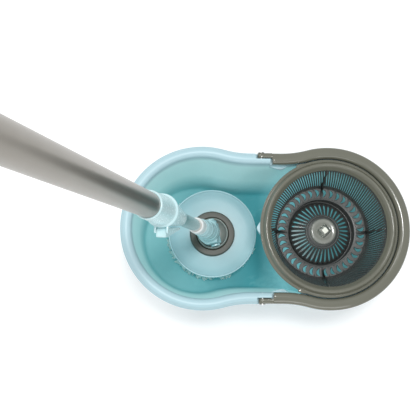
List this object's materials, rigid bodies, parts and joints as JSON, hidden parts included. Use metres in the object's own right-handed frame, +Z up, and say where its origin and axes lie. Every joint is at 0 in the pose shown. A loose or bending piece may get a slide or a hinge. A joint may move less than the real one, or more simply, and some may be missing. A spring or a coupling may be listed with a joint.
{
  "type": "spin mop",
  "caption": "Telescopic spin mop standing in a two-lobed bucket with a turning wringer basket, a fixed basket ring and a flush carrying handle.",
  "frame": {"origin": "centre of the bucket's flat underside", "axes": "+Z up; +X from the mop's lobe to the basket's lobe; +Y across the bucket"},
  "size_m": [0.5486, 0.265, 1.2091],
  "materials": {
    "aqua_plastic": "satin",
    "warm_grey_plastic": "satin",
    "dark_grey_plastic": "satin",
    "light_grey_plastic": "satin",
    "blue_plastic": "glossy",
    "white_plastic": "satin",
    "chrome": "polished",
    "steel": "brushed",
    "champagne_tube": "satin",
    "grip_rubber": "matte",
    "microfibre": "soft"
  },
  "bodies": {
    "bucket": {"bucket_shell": "aqua_plastic", "pivot_pins": "steel", "basket_ring": "warm_grey_plastic", "ring_catch": "aqua_plastic", "spindle_foot": "white_plastic", "spindle": "steel", "thrust_ball": "steel", "foot_screws": "steel"},
    "handle": {"bucket_handle": "warm_grey_plastic"},
    "basket": {"spin_basket": "dark_grey_plastic", "hub_cap": "light_grey_plastic", "drive_post": "chrome", "basket_bush": "white_plastic"},
    "mop_base": {"pivot_cup": "light_grey_plastic", "tilt_pin": "steel"},
    "mop_head": {"mop_strands": "microfibre", "strand_plate": "white_plastic", "mop_disc": "aqua_plastic", "swivel_ring": "warm_grey_plastic"},
    "lower_pole": {"yoke": "blue_plastic", "tube_sleeve": "white_plastic", "inner_tube": "chrome", "tube_rivet": "steel", "drive_nut": "white_plastic"},
    "slider": {"guide_bush": "white_plastic"},
    "upper_pole": {"outer_tube": "champagne_tube", "twisted_rod": "steel", "rod_plug": "white_plastic", "lock_collar": "blue_plastic", "lever_pin": "steel", "hand_grip": "grip_rubber", "end_cap": "blue_plastic"},
    "lever": {"lock_lever": "blue_plastic"}
  },
  "joints": [
    {"name": "handle_swing", "type": "hinge", "parent": "bucket", "child": "handle", "pos_m": [-0.0074, 0, 0.216], "axis": [0, -1, 0], "range_deg": [0, 90]},
    {"name": "basket_spin", "type": "hinge", "parent": "bucket", "child": "basket", "pos_m": [0.1025, 0, 0.12], "axis": [0, 0, 1], "continuous": true},
    {"name": "mop_lift", "type": "slide", "parent": "bucket", "child": "mop_base", "axis": [-0.1922, -0.0461, 0.9803], "range_m": [0, 0.32]},
    {"name": "head_spin", "type": "hinge", "parent": "mop_base", "child": "mop_head", "pos_m": [-0.077, 0.008, 0.035], "axis": [0, 0, 1], "continuous": true},
    {"name": "pole_tilt", "type": "hinge", "parent": "mop_base", "child": "lower_pole", "pos_m": [-0.077, 0.008, 0.058], "axis": [-0.2334, 0.9724, 0], "range_deg": [-24, 26]},
    {"name": "pole_push", "type": "slide", "parent": "lower_pole", "child": "slider", "axis": [0.1922, 0.0461, -0.9803], "range_m": [0, 0.105]},
    {"name": "pole_spin", "type": "hinge", "parent": "slider", "child": "upper_pole", "pos_m": [-0.17886, -0.01646, 0.57754], "axis": [-0.1922, -0.0461, 0.9803], "range_deg": [-316, 0]},
    {"name": "lever_flip", "type": "hinge", "parent": "upper_pole", "child": "lever", "pos_m": [-0.16748, -0.03876, 0.51548], "axis": [-0.9811, 0.0306, -0.1909], "range_deg": [0, 75]}
  ],
  "couplings": [
    {"joint": "pole_spin", "follows": "pole_push", "rad_per_m": -52.36}
  ]
}
